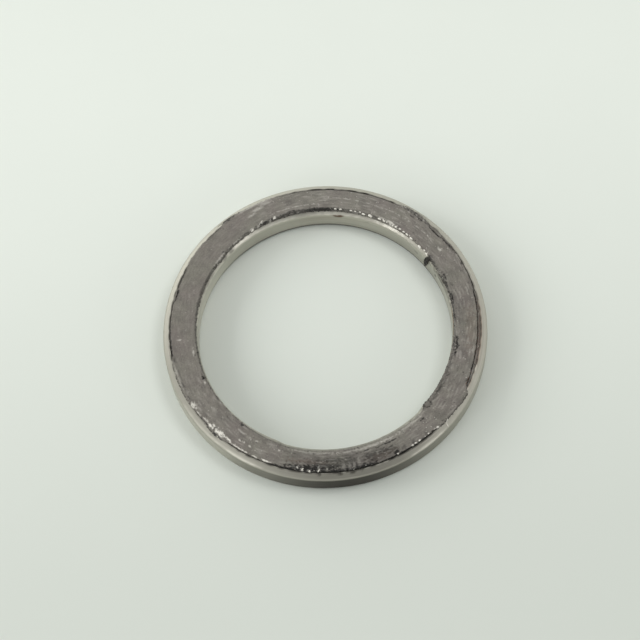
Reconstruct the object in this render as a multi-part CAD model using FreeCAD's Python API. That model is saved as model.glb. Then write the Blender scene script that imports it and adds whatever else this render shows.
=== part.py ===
import FreeCAD, Part
import math
import os

from FreeCAD import Vector

# Exhaust port gasket: a ring of pressed graphite and knitted wire, held in a folded steel channel.
# Frame: the ring's axis is +Z, the origin is the centre of its underside, millimetres.
# Bearings are in degrees, counted from -Y towards +X, so 0 is the side nearest the eye in the photograph.

# Driving dimensions of the whole ring
bore_diameter = 33.0
ring_width = 4.5
gasket_height = 3.8

# Driving dimensions of the steel channel: bends are the inside radii of the sheet
sheet = 0.3
bottom_bend = 0.2
rim_bend = 0.25
outer_fold = 55.0
outer_lip = 0.75
inner_fold = 45.0
inner_lip = 0.4

# Driving dimensions of the filler's crown, the part that stands proud of the rims
crown_height = 0.22
outer_inset = 0.12
inner_inset = 0.28
bore_clearance = 0.06
edge_waver = 0.05
edge_points = 360

# Uneven places of the crown's edges: bearing of the middle, half width in degrees, reach in millimetres
outer_smears = (
    (8.0, 5.0, 0.16),
    (56.0, 4.0, 0.26),
    (139.5, 6.0, 0.36),
    (215.0, 3.5, 0.40),
    (232.0, 8.0, 0.22),
    (297.5, 4.0, 0.14),
    (313.0, 3.0, 0.22),
    (349.0, 6.0, 0.12),
)
outer_losses = (
    (64.0, 4.5, 0.35),
    (78.0, 12.0, 0.48),
    (95.0, 6.5, 0.34),
    (127.0, 5.5, 0.42),
    (252.0, 3.0, 0.30),
    (272.0, 7.0, 0.16),
)
inner_smears = (
    (45.2, 2.2, 0.30),
    (64.0, 19.0, 0.44),
    (92.0, 11.0, 0.36),
    (119.4, 2.0, 0.60),
    (229.0, 4.0, 0.44),
    (246.0, 12.0, 0.34),
    (272.0, 15.0, 0.42),
    (300.0, 14.0, 0.26),
)
inner_losses = (
    (350.0, 17.0, 0.45),
    (19.0, 24.0, 0.60),
    (116.0, 3.0, 0.18),
    (146.0, 4.0, 0.16),
    (203.0, 4.0, 0.16),
)

# Worked out from the driving dimensions
bore_radius = bore_diameter / 2
outer_radius = bore_radius + ring_width
rim_turn = math.radians(outer_fold)
rim_rise = (rim_bend + sheet) * math.sin(rim_turn) + outer_lip * math.cos(rim_turn)
wall_height = gasket_height - crown_height - rim_rise


def foot_points(wall_radius, side, depth):
    """Bend from the underside to one wall, depth below the outside face; side is +1 outside, -1 at the bore."""
    bend = bottom_bend + sheet - depth
    centre = Vector(wall_radius - side * (bottom_bend + sheet), 0, bottom_bend + sheet)
    slope = bend * math.sqrt(0.5)
    on_underside = centre + Vector(0, 0, -bend)
    halfway = centre + Vector(side * slope, 0, -slope)
    on_wall = centre + Vector(side * bend, 0, 0)
    return on_underside, halfway, on_wall


def rim_points(wall_radius, side, fold, lip, depth):
    """Start, middle and end of one wall's fold and the end of its lip, depth below the outside face."""
    bend = rim_bend + sheet - depth
    centre = Vector(wall_radius - side * (rim_bend + sheet), 0, wall_height)
    on_bend = []
    for share in (0, 0.5, 1):
        turn = math.radians(fold * share)
        on_bend.append(centre + Vector(side * math.cos(turn), 0, math.sin(turn)) * bend)
    turn = math.radians(fold)
    lip_end = on_bend[2] + Vector(-side * math.sin(turn), 0, math.cos(turn)) * lip
    return on_bend + [lip_end]


def outer_rim(depth):
    """The outer wall's fold and lip, depth below the outside face."""
    return rim_points(outer_radius, 1, outer_fold, outer_lip, depth)


def inner_rim(depth):
    """The bore wall's fold and lip, depth below the outside face."""
    return rim_points(bore_radius, -1, inner_fold, inner_lip, depth)


def wall_edges(foot, rim):
    """Edges of one wall from the underside up to the cut edge of its lip."""
    return [
        Part.Arc(*foot).toShape(),
        Part.makeLine(foot[2], rim[0]),
        Part.Arc(rim[0], rim[1], rim[2]).toShape(),
        Part.makeLine(rim[2], rim[3]),
    ]


def channel_line(depth):
    """The channel's section line, depth below the outside face, from one lip's cut edge to the other's."""
    inner_foot = foot_points(bore_radius, -1, depth)
    outer_foot = foot_points(outer_radius, 1, depth)
    floor = Part.makeLine(inner_foot[0], outer_foot[0])
    return wall_edges(inner_foot, inner_rim(depth)) + [floor] + wall_edges(outer_foot, outer_rim(depth))


def turned(edges):
    """Solid of revolution round the ring's axis from the edges of a closed section."""
    section = Part.Face(Part.Wire(Part.__sortEdges__(edges)))
    return section.revolve(Vector(0, 0, 0), Vector(0, 0, 1), 360)


def cut_edges():
    """The square cut ends of the two lips."""
    return [
        Part.makeLine(inner_rim(0)[3], inner_rim(sheet)[3]),
        Part.makeLine(outer_rim(0)[3], outer_rim(sheet)[3]),
    ]


def steel_channel():
    """One annular channel pressed from thin sheet, open upwards, both rims folded over the filler."""
    return turned(channel_line(0) + channel_line(sheet) + cut_edges())


def channel_envelope():
    """The channel's whole outside, closed straight across its mouth."""
    mouth = Part.makeLine(inner_rim(0)[3], outer_rim(0)[3])
    return turned(channel_line(0) + [mouth])


def channel_filling():
    """What fills the channel up to its mouth, between the cut ends of the two lips."""
    mouth = Part.makeLine(inner_rim(0)[3], outer_rim(0)[3])
    return turned(channel_line(sheet) + cut_edges() + [mouth])


def waver(bearing, edge):
    """Small uneven swing of a broken edge, from -1 to 1, different on each of the crown's four edges."""
    turn = math.radians(bearing)
    slow = 0.40 * math.sin(5 * turn + edge)
    middle = 0.35 * math.sin(17 * turn + 2 * edge)
    quick = 0.25 * math.sin(47 * turn + 3 * edge)
    return slow + middle + quick


def reach(bearing, places):
    """Reach at a bearing of the places in a list, each flat in its middle with short slopes at its ends."""
    total = 0.0
    for middle, half_width, full_reach in places:
        away = abs((bearing - middle + 180) % 360 - 180) / half_width
        rise = max(0.0, min(1.0, 2 * (1 - away)))
        total += full_reach * rise * rise * (3 - 2 * rise)
    return total


def outer_foot(bearing):
    """Radius where the crown's outer edge meets the steel, smeared over the rim or broken back from it."""
    moved = reach(bearing, outer_smears) - reach(bearing, outer_losses)
    return outer_rim(0)[3].x + moved + edge_waver * waver(bearing, 1)


def outer_top(bearing):
    """Radius of the crown's outer edge on its top face."""
    moved = reach(bearing, outer_smears) - reach(bearing, outer_losses)
    return outer_rim(0)[3].x - outer_inset + moved + edge_waver * waver(bearing, 2)


def inner_foot(bearing):
    """Radius where the crown's inner edge meets the steel, kept clear of the bore."""
    smeared = inner_rim(0)[3].x - reach(bearing, inner_smears) + edge_waver * waver(bearing, 3)
    return max(bore_radius + bore_clearance, smeared)


def inner_top(bearing):
    """Radius of the crown's inner edge on its top face, worn back to a slope in places."""
    moved = inner_inset + reach(bearing, inner_losses) - reach(bearing, inner_smears)
    return max(bore_radius + bore_clearance, inner_rim(0)[3].x + moved + edge_waver * waver(bearing, 4))


def outline(radius_at, height):
    """Closed smooth outline of one edge of the crown at one height."""
    points = []
    for index in range(edge_points):
        bearing = 360 * index / edge_points
        turn = math.radians(bearing)
        radius = radius_at(bearing)
        points.append(Vector(radius * math.sin(turn), -radius * math.cos(turn), height))
    curve = Part.BSplineCurve()
    curve.interpolate(Points=points, PeriodicFlag=True)
    return Part.Wire(curve.toShape())


def crown():
    """The filler above the channel's mouth, with its uneven edges smeared over both rims."""
    outside = Part.makeLoft([outline(outer_foot, wall_height), outline(outer_top, gasket_height)], True, True)
    inside = Part.makeLoft([outline(inner_foot, wall_height), outline(inner_top, gasket_height)], True, True)
    return outside.cut(inside)


def graphite_filler():
    """Pressed graphite and wire: it fills the channel and stands proud of both rims."""
    above_steel = crown().cut(channel_envelope())
    return channel_filling().fuse(above_steel).removeSplitter()


def main():
    os.makedirs("parts", exist_ok=True)
    steel_channel().exportStep("parts/steel_channel.step")
    graphite_filler().exportStep("parts/graphite_filler.step")


main()
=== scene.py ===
# %% [markdown]
# # Exhaust port gasket
# The part is a ring about 42 mm across that seals an exhaust pipe in its port.
# A thin steel channel holds a ring of pressed graphite with knitted wire in it.
# This scene loads the imported solids as a fixed frame, hides them, builds dressed pieces in their place and lights
# them.
# Lengths below are in millimetres and become metres where a mesh is made.

import math

import bpy
import numpy as np
from mathutils import Matrix, Vector


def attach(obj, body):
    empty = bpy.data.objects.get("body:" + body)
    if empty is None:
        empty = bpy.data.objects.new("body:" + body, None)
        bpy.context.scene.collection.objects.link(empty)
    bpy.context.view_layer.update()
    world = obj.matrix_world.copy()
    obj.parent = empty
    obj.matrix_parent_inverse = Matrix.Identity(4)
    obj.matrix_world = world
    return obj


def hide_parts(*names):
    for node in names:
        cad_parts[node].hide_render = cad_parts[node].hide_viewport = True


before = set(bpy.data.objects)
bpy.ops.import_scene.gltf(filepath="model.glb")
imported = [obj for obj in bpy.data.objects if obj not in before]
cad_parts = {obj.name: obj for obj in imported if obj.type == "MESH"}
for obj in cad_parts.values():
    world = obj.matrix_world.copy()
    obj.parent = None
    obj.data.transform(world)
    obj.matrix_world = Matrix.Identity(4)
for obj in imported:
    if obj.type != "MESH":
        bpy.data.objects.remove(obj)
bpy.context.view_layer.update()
MM = 0.001

# %% [markdown]
# ## Places on a ring
# Every wear mark on this ring is easier to name by a bearing and a radius than by x and y.
# The bearing is counted in degrees from the side nearest the eye towards the right.

# %% Places on a ring
bore_radius = 16.5
outer_radius = 21.0
gasket_height = 3.8
sheet = 0.3
wall_height = 2.699
bend_radius = 0.55


def ring_place(bearing, radius, height):
    """Point in metres at a bearing in degrees and a radius and height in millimetres."""
    turn = np.radians(bearing)
    x, y = radius * np.sin(turn), -radius * np.cos(turn)
    return np.stack(np.broadcast_arrays(x, y, height), axis=-1) * MM


def bearing_gap(bearing, middle):
    """Signed gap in degrees from the middle to a bearing, the short way round."""
    return (bearing - middle + 180) % 360 - 180


def smooth_step(value, low, high):
    """0 below low, 1 above high and a smooth rise between them."""
    share = np.clip((value - low) / (high - low), 0, 1)
    return share * share * (3 - 2 * share)


def within(bearing, middle, inner, outer):
    """1 up to inner degrees from the middle, 0 beyond outer degrees and a smooth fall between them."""
    return smooth_step(-np.abs(bearing_gap(bearing, middle)), -outer, -inner)


def swell(bearing, middle, width):
    """1 at the middle, fading like a bell over the width in degrees."""
    return np.exp(-(bearing_gap(bearing, middle) / width) ** 2)


print("ring from", bore_radius, "to", outer_radius, "mm, height", gasket_height, "mm")

# %% [markdown]
# ## Uneven fields
# Pressed graphite breaks and smears unevenly. A sum of waves with random directions gives such unevenness.
# Whole numbers of waves round the ring make the pattern meet itself, so no seam shows.

# %% Uneven fields
def uneven(bearing, radius, seed, slowest, fastest, waves=28, stretch=1.0):
    """Smooth random field of about -1 to 1.

    Slowest and fastest count its waves round the ring, and stretch makes it streaky.
    """
    rng = np.random.default_rng(seed)
    turn = np.radians(bearing)
    total = 0.0
    for _ in range(waves):
        around = rng.integers(slowest, fastest + 1)
        across = rng.normal() * (fastest / 19.0) * stretch
        total = total + np.sin(around * turn + across * radius + rng.uniform(0, 2 * math.pi))
    return total * math.sqrt(2.0 / waves) * 0.6


sample = uneven(np.linspace(0, 360, 721), 18.0, 1, 3, 40)
print("uneven field from", round(float(sample.min()), 2), "to", round(float(sample.max()), 2))

# %% [markdown]
# ## Colours and nodes
# Colours are given as sRGB hex values. Blender's shaders calculate in linear light, so one function
# turns them. Another adds any node with its settings and its links, which keeps the trees short to read.

# %% Colours and nodes
def linear(hex_colour):
    """Linear RGBA of an sRGB hex colour."""
    parts = [int(hex_colour[i:i + 2], 16) / 255 for i in (1, 3, 5)]
    return [c / 12.92 if c <= 0.04045 else ((c + 0.055) / 1.055) ** 2.4 for c in parts] + [1.0]


def add(tree, kind, inputs=(), **settings):
    """Adds a node to a tree. Settings are the node's own properties.

    Inputs, in order or by socket, are values, other nodes' sockets or nodes; a node gives its first open output.
    """
    node = tree.nodes.new(kind)
    for name, value in settings.items():
        setattr(node, name, value)
    for key, value in inputs.items() if isinstance(inputs, dict) else enumerate(inputs):
        if isinstance(value, bpy.types.Node):
            value = next(socket for socket in value.outputs if socket.enabled)
        if isinstance(value, bpy.types.NodeSocket):
            tree.links.new(value, node.inputs[key])
        else:
            node.inputs[key].default_value = value
    return node


print("grey #808080 is", round(linear("#808080")[0], 3), "in linear light")

# %% [markdown]
# ## Steel channel
# The real channel is one strip of thin steel, closed underneath, with both rims folded over the filling.
# A lathe profile or a swept section could make it. Here the strip's middle line is drawn with sharp corners,
# rounded by Fillet Curve and swept round a circle by Curve to Mesh, and a Solidify modifier gives the sheet's
# thickness. That is how a folder thinks of it: lengths, fold angles and bend radii.

# %% Strip of the channel
path_radius = (bore_radius + outer_radius) / 2
outer_fold, outer_lip = 55.0, 0.75
inner_fold, inner_lip = 45.0, 0.4
foot_bend = 0.2 + sheet / 2
rim_bend = 0.25 + sheet / 2


def fold_points(wall, side, fold, lip):
    """Corner and tip of one fold on the strip's middle line; side is +1 outside and -1 at the bore."""
    reach = rim_bend * math.tan(math.radians(fold / 2))
    corner = np.array([wall, wall_height + reach])
    along = np.array([-side * math.sin(math.radians(fold)), math.cos(math.radians(fold))])
    return corner, corner + (reach + lip) * along


inner_wall, outer_wall = bore_radius + sheet / 2, outer_radius - sheet / 2
inner_corner, inner_tip = fold_points(inner_wall, -1, inner_fold, inner_lip)
outer_corner, outer_tip = fold_points(outer_wall, 1, outer_fold, outer_lip)
strip_corners = [
    (*inner_tip, 0), (*inner_corner, rim_bend), (inner_wall, sheet / 2, foot_bend),
    (outer_wall, sheet / 2, foot_bend), (*outer_corner, rim_bend), (*outer_tip, 0),
]


def strip_with_steps(corners, step):
    """Corners with more points on the long straight runs, so that marks and dents have points to sit on."""
    points = [corners[0]]
    for start, end in zip(corners, corners[1:]):
        run = math.dist(start[:2], end[:2])
        count = max(1, round((run - start[2] - end[2]) / step))
        margins = (start[2] * 1.1 / run, 1 - end[2] * 1.1 / run)
        for share in np.linspace(*margins, count + 1)[0 if start[2] else 1:None if end[2] else -1]:
            points.append((*(np.array(start[:2]) * (1 - share) + np.array(end[:2]) * share), 0))
        points.append(end)
    return points


strip = strip_with_steps(strip_corners, 0.25)
print("strip of", len(strip), "points on its middle line")

# %% Objects and values on them
def in_scene(name, data):
    """New object in the scene that shows a mesh, a lamp or a camera."""
    thing = bpy.data.objects.new(name, data)
    bpy.context.scene.collection.objects.link(thing)
    return thing


def paint(mesh, **layers):
    """Stores named values on a mesh's points, where materials and node trees can read them."""
    for name, values in layers.items():
        values = np.asarray(values, float).ravel()
        mesh.attributes.new(name, "FLOAT", "POINT").data.foreach_set("value", values)


def skeleton(name, points, edges=(), **values):
    """Object of bare points and edges with named values, for a node tree to build on."""
    mesh = bpy.data.meshes.new(name)
    mesh.from_pydata([tuple(point) for point in points], list(edges), [])
    paint(mesh, **values)
    return in_scene(name, mesh)


def smooth_faces(mesh):
    """Shades the faces of a mesh as one smooth surface."""
    mesh.polygons.foreach_set("use_smooth", [True] * len(mesh.polygons))


# %% Node trees on objects
def new_tree(name, sizes):
    """Geometry Nodes tree with named inputs for its sizes, and the sockets that bring them in."""
    tree = bpy.data.node_groups.new(name, "GeometryNodeTree")
    tree.interface.new_socket("Geometry", in_out="INPUT", socket_type="NodeSocketGeometry")
    for label, kind in sizes:
        tree.interface.new_socket(label, in_out="INPUT", socket_type="NodeSocket" + kind)
    tree.interface.new_socket("Geometry", in_out="OUTPUT", socket_type="NodeSocketGeometry")
    return tree, add(tree, "NodeGroupInput").outputs


def close_tree(tree, shape, material):
    """Ends a tree: instances become real faces, get their material and go out."""
    real = add(tree, "GeometryNodeRealizeInstances", (shape,))
    dressed = add(tree, "GeometryNodeSetMaterial", {0: real, "Material": material})
    add(tree, "NodeGroupOutput", (dressed,))
    print(tree.name, "has", len(tree.nodes), "nodes")


def add_tree(piece, tree, values):
    """Puts the tree on a piece as a modifier and sets its inputs by their identifiers."""
    modifier = piece.modifiers.new(tree.name, "NODES")
    modifier.node_group = tree
    for item in tree.interface.items_tree:
        if item.in_out == "INPUT" and item.name in values:
            modifier[item.identifier] = values[item.name]


def finished(piece, name):
    """A plain mesh object of the piece with all its modifiers applied; the piece itself is removed."""
    mesh = bpy.data.meshes.new_from_object(piece.evaluated_get(bpy.context.evaluated_depsgraph_get()))
    bpy.data.objects.remove(piece)
    mesh.name = name
    return in_scene(name, mesh)


# %% Tree that sweeps the strip
sweep, given = new_tree("fold_and_sweep", (
    ("Path radius", "Float"), ("Steps round", "Int"), ("Bend steps", "Int"), ("Material", "Material")))
section = add(sweep, "GeometryNodeMeshToCurve", (given["Geometry"],))
bend = add(sweep, "GeometryNodeInputNamedAttribute", {"Name": "bend"}, data_type="FLOAT")
rounded = add(sweep, "GeometryNodeFilletCurve", {
    "Curve": section, "Radius": bend, "Count": given["Bend steps"]}, mode="POLY")
circle = add(sweep, "GeometryNodeCurvePrimitiveCircle", {
    "Radius": given["Path radius"], "Resolution": given["Steps round"]})
swept = add(sweep, "GeometryNodeCurveToMesh", {"Curve": circle, "Profile Curve": rounded})
close_tree(sweep, swept, given["Material"])

# %% [markdown]
# ### Worn stainless strip
# The jacket is rolled stainless strip that has been hot: warm grey, fine rolling lines that run round the ring,
# a little soot near the filling, with painted shade in the groove and at the front, and brown heat tint in thin rings.
# A metal shader with noise squeezed across the strip draws the lines; the marks come from attributes that are painted
# on the mesh further down, among them painted highlights on the rims and the bend.

# %% Marks and places that materials read
def new_material(name):
    """Empty material and its tree."""
    material = bpy.data.materials.new(name)
    material.use_nodes = True
    material.node_tree.nodes.clear()
    return material, material.node_tree


def millimetre_place(tree):
    """Object coordinates in millimetres, so that a pattern's scale is counted per millimetre."""
    place = add(tree, "ShaderNodeTexCoord").outputs["Object"]
    return add(tree, "ShaderNodeVectorMath", {0: place, "Scale": 1 / MM}, operation="SCALE")


def ring_coordinates(tree, place):
    """x, y, height and radius of a place on the ring."""
    x, y, z = add(tree, "ShaderNodeSeparateXYZ", (place,)).outputs
    flat = add(tree, "ShaderNodeCombineXYZ", (x, y))
    return x, y, z, add(tree, "ShaderNodeVectorMath", (flat,), operation="LENGTH").outputs["Value"]


def streak_place(tree, x, y, across, slow, fast):
    """Place that changes slowly along the ring and fast across it, which draws a noise out into streaks."""
    drawn_out = ((x, slow), (y, slow), (across, fast))
    return add(tree, "ShaderNodeCombineXYZ", [
        add(tree, "ShaderNodeMath", factors, operation="MULTIPLY") for factors in drawn_out])


def painted_marks(tree, radius):
    """Soot with painted shade, rubbed shine with painted highlights, and heat tint as painted on the mesh; where rings
    are painted the tint lies in thin rings.
    """
    soot_and_shade, rub_and_highlight, tint, rings = [
        add(tree, "ShaderNodeAttribute", attribute_name=name).outputs["Fac"]
        for name in ("soot_and_shade", "rub_and_highlight", "tint", "rings")]
    # The real rings are closer together than this and wouldn't show.
    ring_spacing = 0.24
    turns = add(tree, "ShaderNodeMath", (radius, 2 * math.pi / ring_spacing), operation="MULTIPLY")
    wave = add(tree, "ShaderNodeMath", (turns,), operation="SINE")
    wave = add(tree, "ShaderNodeMath", (wave, 0.6, 0.2), operation="MULTIPLY_ADD")
    ringed = add(tree, "ShaderNodeMath", (rings, wave), operation="MULTIPLY")
    return soot_and_shade, rub_and_highlight, add(tree, "ShaderNodeMath", (tint, ringed), operation="MAXIMUM")


def dress(tree, base, colours, roughness, dulled=(), bumps=(), plain=None):
    """Ends a material with a Principled shader.

    Each colour is laid over the ones before it by its share, each dulled share adds its amount of roughness,
    each bump is a pattern with a strength and a depth in millimetres, and plain holds inputs that are set as they are.
    """
    look = {"Base Color": linear(base), "Roughness": roughness, **(plain or {})}
    for share, colour in colours:
        look["Base Color"] = add(tree, "ShaderNodeMix", {
            0: share, 6: look["Base Color"], 7: linear(colour)}, data_type="RGBA")
    for share, amount in dulled:
        look["Roughness"] = add(tree, "ShaderNodeMath", (share, amount, look["Roughness"]), operation="MULTIPLY_ADD")
    for pattern, strength, depth in bumps:
        below = {"Normal": look["Normal"]} if "Normal" in look else {}
        look["Normal"] = add(tree, "ShaderNodeBump", {
            "Height": pattern, "Strength": strength, "Distance": depth * MM, **below})
    shader = add(tree, "ShaderNodeBsdfPrincipled", look)
    add(tree, "ShaderNodeOutputMaterial", {"Surface": shader})
    print("a surface of", len(tree.nodes), "nodes")


# %% Worn stainless strip
worn_steel, tree = new_material("worn_stainless_strip")
place = millimetre_place(tree)
x, y, z, radius = ring_coordinates(tree, place)
off_middle = add(tree, "ShaderNodeMath", (radius, path_radius), operation="SUBTRACT")
off_middle = add(tree, "ShaderNodeMath", (off_middle,), operation="ABSOLUTE")
across_strip = add(tree, "ShaderNodeMath", (z, off_middle), operation="SUBTRACT")
# Rolling lines are a few hundredths of a millimetre apart; they are drawn at about 0.1 mm so that they show.
lines = add(tree, "ShaderNodeTexNoise", {
    "Vector": streak_place(tree, x, y, across_strip, 0.10, 6.0), "Scale": 1.0, "Detail": 3.0, "Roughness": 0.6})
clouds = add(tree, "ShaderNodeTexNoise", {"Vector": place, "Scale": 0.45, "Detail": 4.0, "Roughness": 0.6})
grain = add(tree, "ShaderNodeTexNoise", {"Vector": place, "Scale": 7.0, "Detail": 2.0})
line_share = add(tree, "ShaderNodeMath", (lines, 0.9, -0.25), operation="MULTIPLY_ADD")
soot_and_shade, rub_and_highlight, heat = painted_marks(tree, radius)
# The outside is scuffed and dull, the bore is smoother.
outside = add(tree, "ShaderNodeMath", (radius, path_radius), operation="GREATER_THAN")
# The soot colour also lays painted shade and the shine colour painted highlights, where the painted layers ask for
# them.
dress(tree, "#bdb9ae", (
    (clouds, "#cfccc2"), (line_share, "#97938a"), (heat, "#7a5f4c"), (soot_and_shade, "#2b2825"), (rub_and_highlight, "#eeeae0")),
    0.27, ((soot_and_shade, 0.25), (outside, 0.10), (clouds, 0.14)),
    ((lines, 0.12, 0.04), (grain, 0.10, 0.03)), {"Metallic": 1.0})

# %% Sweep of the channel
# Curve to Mesh lays the profile's x outwards along the radius and its y downwards.
channel = skeleton(
    "channel_strip", [((r - path_radius) * MM, -h * MM, 0) for r, h, _ in strip],
    [(i, i + 1) for i in range(len(strip) - 1)], bend=[b * MM for _, _, b in strip])
add_tree(channel, sweep, {
    "Path radius": path_radius * MM, "Steps round": 600, "Bend steps": 6, "Material": worn_steel})
thickness = channel.modifiers.new("sheet", "SOLIDIFY")
thickness.thickness = sheet * MM
thickness.offset = 0
thickness.use_even_offset = True
eased = channel.modifiers.new("eased_edges", "BEVEL")
eased.width = 0.04 * MM
eased.segments = 1
eased.limit_method = "ANGLE"
eased.angle_limit = math.radians(50)
channel = finished(channel, "steel_channel_sheet")
smooth_faces(channel.data)
steel_points = np.array([v.co for v in channel.data.vertices]) / MM
steel_b = np.degrees(np.arctan2(steel_points[:, 0], -steel_points[:, 1])) % 360
steel_r, steel_z = np.hypot(steel_points[:, 0], steel_points[:, 1]), steel_points[:, 2]


def rim_push(bearing):
    """How far the rim of the bore is pushed back, in millimetres: only on the near side."""
    return 0.20 * within(bearing, 9, 30, 36)


pushed = rim_push(steel_b) * smooth_step(steel_z, 1.2, 2.6) * (steel_r < 17.3)
channel.data.vertices.foreach_set("co", ring_place(steel_b, steel_r + pushed, steel_z).ravel())
print("channel has", len(channel.data.polygons), "faces")

# %% [markdown]
# ## Graphite filler
# The filling is graphite pressed together with a knitted wire ring. It stands proud of both rims, is rubbed flat
# on top, breaks away at the edges and is smeared over the steel in places. No rule gives such a shape,
# so it is built as a grid: one section per bearing, whose edge points move in and out from place to place.

# %% Edges of the filler
steps_round = 1200
bearing = np.arange(steps_round) * 360.0 / steps_round
outer_lip_tip, inner_lip_tip = 20.151, 16.944

# Bearing and radius of the filler's outer edge on its top face, read off the photograph going round.
outer_line = (
    (0, 20.02), (14, 20.02), (38, 20.03), (42, 20.26), (50, 20.28), (55, 20.50), (58, 20.45), (60, 19.90),
    (63, 19.82), (67, 19.72), (73, 19.62), (86, 19.62), (91, 19.74), (99, 19.80), (103, 19.98), (117, 20.00),
    (120, 19.84), (124, 19.76), (126, 19.62), (131, 19.66), (133, 20.05), (136, 20.38), (140, 20.44), (145, 20.30),
    (148, 19.92), (192, 19.90), (196, 20.16), (208, 20.18), (212, 20.46), (216, 20.50), (219, 19.96), (225, 19.98),
    (228, 20.22), (238, 20.20), (241, 19.96), (249, 19.92), (251, 19.76), (254, 19.78), (256, 19.97), (266, 20.00),
    (277, 19.94), (280, 20.18), (294, 20.20), (297, 20.17), (304, 20.08), (309, 20.22), (312, 20.36), (316, 20.20),
    (319, 20.05), (335, 20.06), (344, 20.02), (349, 20.10), (355, 20.02), (360, 20.05),
)
# The same for the inner edge: the top face's edge, then the foot on the inner lip, then how dark the slope is.
inner_line = (
    (0, 17.86, 17.14, 0.10), (20, 17.98, 17.14, 0.05), (34, 17.90, 17.14, 0.05), (41, 17.60, 17.10, 0.10),
    (43, 17.20, 16.88, 0.60), (44, 16.80, 16.58, 0.80), (47, 16.80, 16.58, 0.80), (49, 16.80, 16.62, 0.70),
    (64, 16.74, 16.58, 0.60), (80, 16.76, 16.60, 0.45), (88, 16.84, 16.66, 0.60), (100, 16.88, 16.74, 0.75),
    (104, 16.92, 16.78, 0.60), (112, 16.92, 16.74, 0.50), (117, 16.88, 16.70, 0.45), (119, 16.84, 16.68, 0.70),
    (121, 16.86, 16.70, 0.70), (123, 17.08, 16.90, 0.20), (131, 17.14, 16.92, 0.15), (146, 17.22, 16.94, 0.25),
    (156, 17.24, 16.96, 0.35), (165, 17.26, 16.96, 0.55), (174, 17.28, 16.95, 0.80), (188, 17.34, 16.95, 0.70),
    (200, 17.30, 16.96, 0.60), (209, 17.18, 16.95, 0.45), (225, 17.08, 16.84, 0.40), (229, 16.92, 16.72, 0.50),
    (236, 16.98, 16.80, 0.40), (246, 16.94, 16.74, 0.45), (256, 16.90, 16.72, 0.50), (266, 16.82, 16.64, 0.45),
    (276, 16.80, 16.60, 0.45), (290, 16.86, 16.68, 0.50), (304, 16.86, 16.68, 0.35), (318, 17.02, 16.78, 0.40),
    (330, 17.25, 16.92, 0.20), (338, 17.60, 17.08, 0.15), (350, 17.80, 17.14, 0.12), (360, 17.86, 17.14, 0.10),
)


def read_line(line, column):
    """One column of an edge line at every bearing."""
    table = np.array(line, float)
    return np.interp(bearing, table[:, 0], table[:, column])


ragged = uneven(bearing, 0.0, 11, 40, 300, waves=60)
torn = uneven(bearing, 0.0, 12, 90, 420, waves=60)
# The far edge is broken less than the rest.
calm = 1 - 0.65 * within(bearing, 170, 21, 26)
outer_edge = read_line(outer_line, 1) + calm * (0.030 * ragged + 0.020 * torn)
inner_top = read_line(inner_line, 1) + 0.05 * uneven(bearing, 0.0, 13, 30, 260, waves=60) + 0.02 * torn
lumps = uneven(bearing, 0.0, 14, 50, 200, waves=60)
inner_foot = read_line(inner_line, 2) + 0.03 * lumps + 0.015 * torn
inner_foot = np.maximum(bore_radius + 0.03, inner_foot)
rim_pushed = rim_push(bearing)
slope_darkness = read_line(inner_line, 3)
# The broken outer edge is near black at the front. It is greyer on the left, on the far right
# and where the filling covers the lip.
edge_soot = 0.95
for middle, inner, outer, paler in ((283, 50, 60, 0.30), (50, 6, 9, 0.30), (109, 6, 11, 0.40)):
    edge_soot = edge_soot - paler * within(bearing, middle, inner, outer)
print("outer edge from", round(outer_edge.min(), 2), "to", round(outer_edge.max(), 2), "mm")

# %% Section of the filler
# The rims as the solids have them: a straight lip and, further from the filling, the round of the bend.
def outer_lip_height(radius):
    """Height of the outer rim's outside surface at a radius."""
    lip = 3.580 - (radius - outer_lip_tip) * math.tan(math.radians(90 - outer_fold))
    bend = wall_height + np.sqrt(np.maximum(0.01, bend_radius ** 2 - (radius - 20.45) ** 2))
    return np.where(radius < 20.766, lip, bend)


def inner_lip_height(radius):
    """Height of the bore rim's outside surface at a radius."""
    lip = 3.371 - (inner_lip_tip - radius)
    bend = wall_height + np.sqrt(np.maximum(0.01, bend_radius ** 2 - (17.05 - radius) ** 2))
    return np.where(radius > 16.661, lip, bend)


def mixed(share, first, second):
    """Value between two values."""
    return first + (second - first) * share


over = smooth_step(outer_edge, 20.10, 20.18)
lost = smooth_step(outer_edge, 19.96, 19.86)
outer_slope = gasket_height - 0.55 * np.maximum(0, outer_edge - 20.06)
outer_top = np.minimum(outer_edge, 20.06 + 0.35 * (outer_edge - 20.06))
foot_radius = mixed(over, mixed(lost, np.minimum(outer_edge + 0.04, 19.99), 20.08), outer_edge + 0.07)
foot_height = mixed(over, mixed(lost, 3.34, 3.50), outer_lip_height(outer_edge + 0.07) - 0.01)
half_way = (outer_slope + foot_height) / 2
inside_mouth = smooth_step(inner_foot - rim_pushed, inner_lip_tip - 0.03, inner_lip_tip + 0.05)
inner_foot_height = mixed(inside_mouth, inner_lip_height(inner_foot - rim_pushed) - 0.01, 3.33)
under_edge = inner_foot_height - 0.10

one = np.ones(steps_round)
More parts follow.
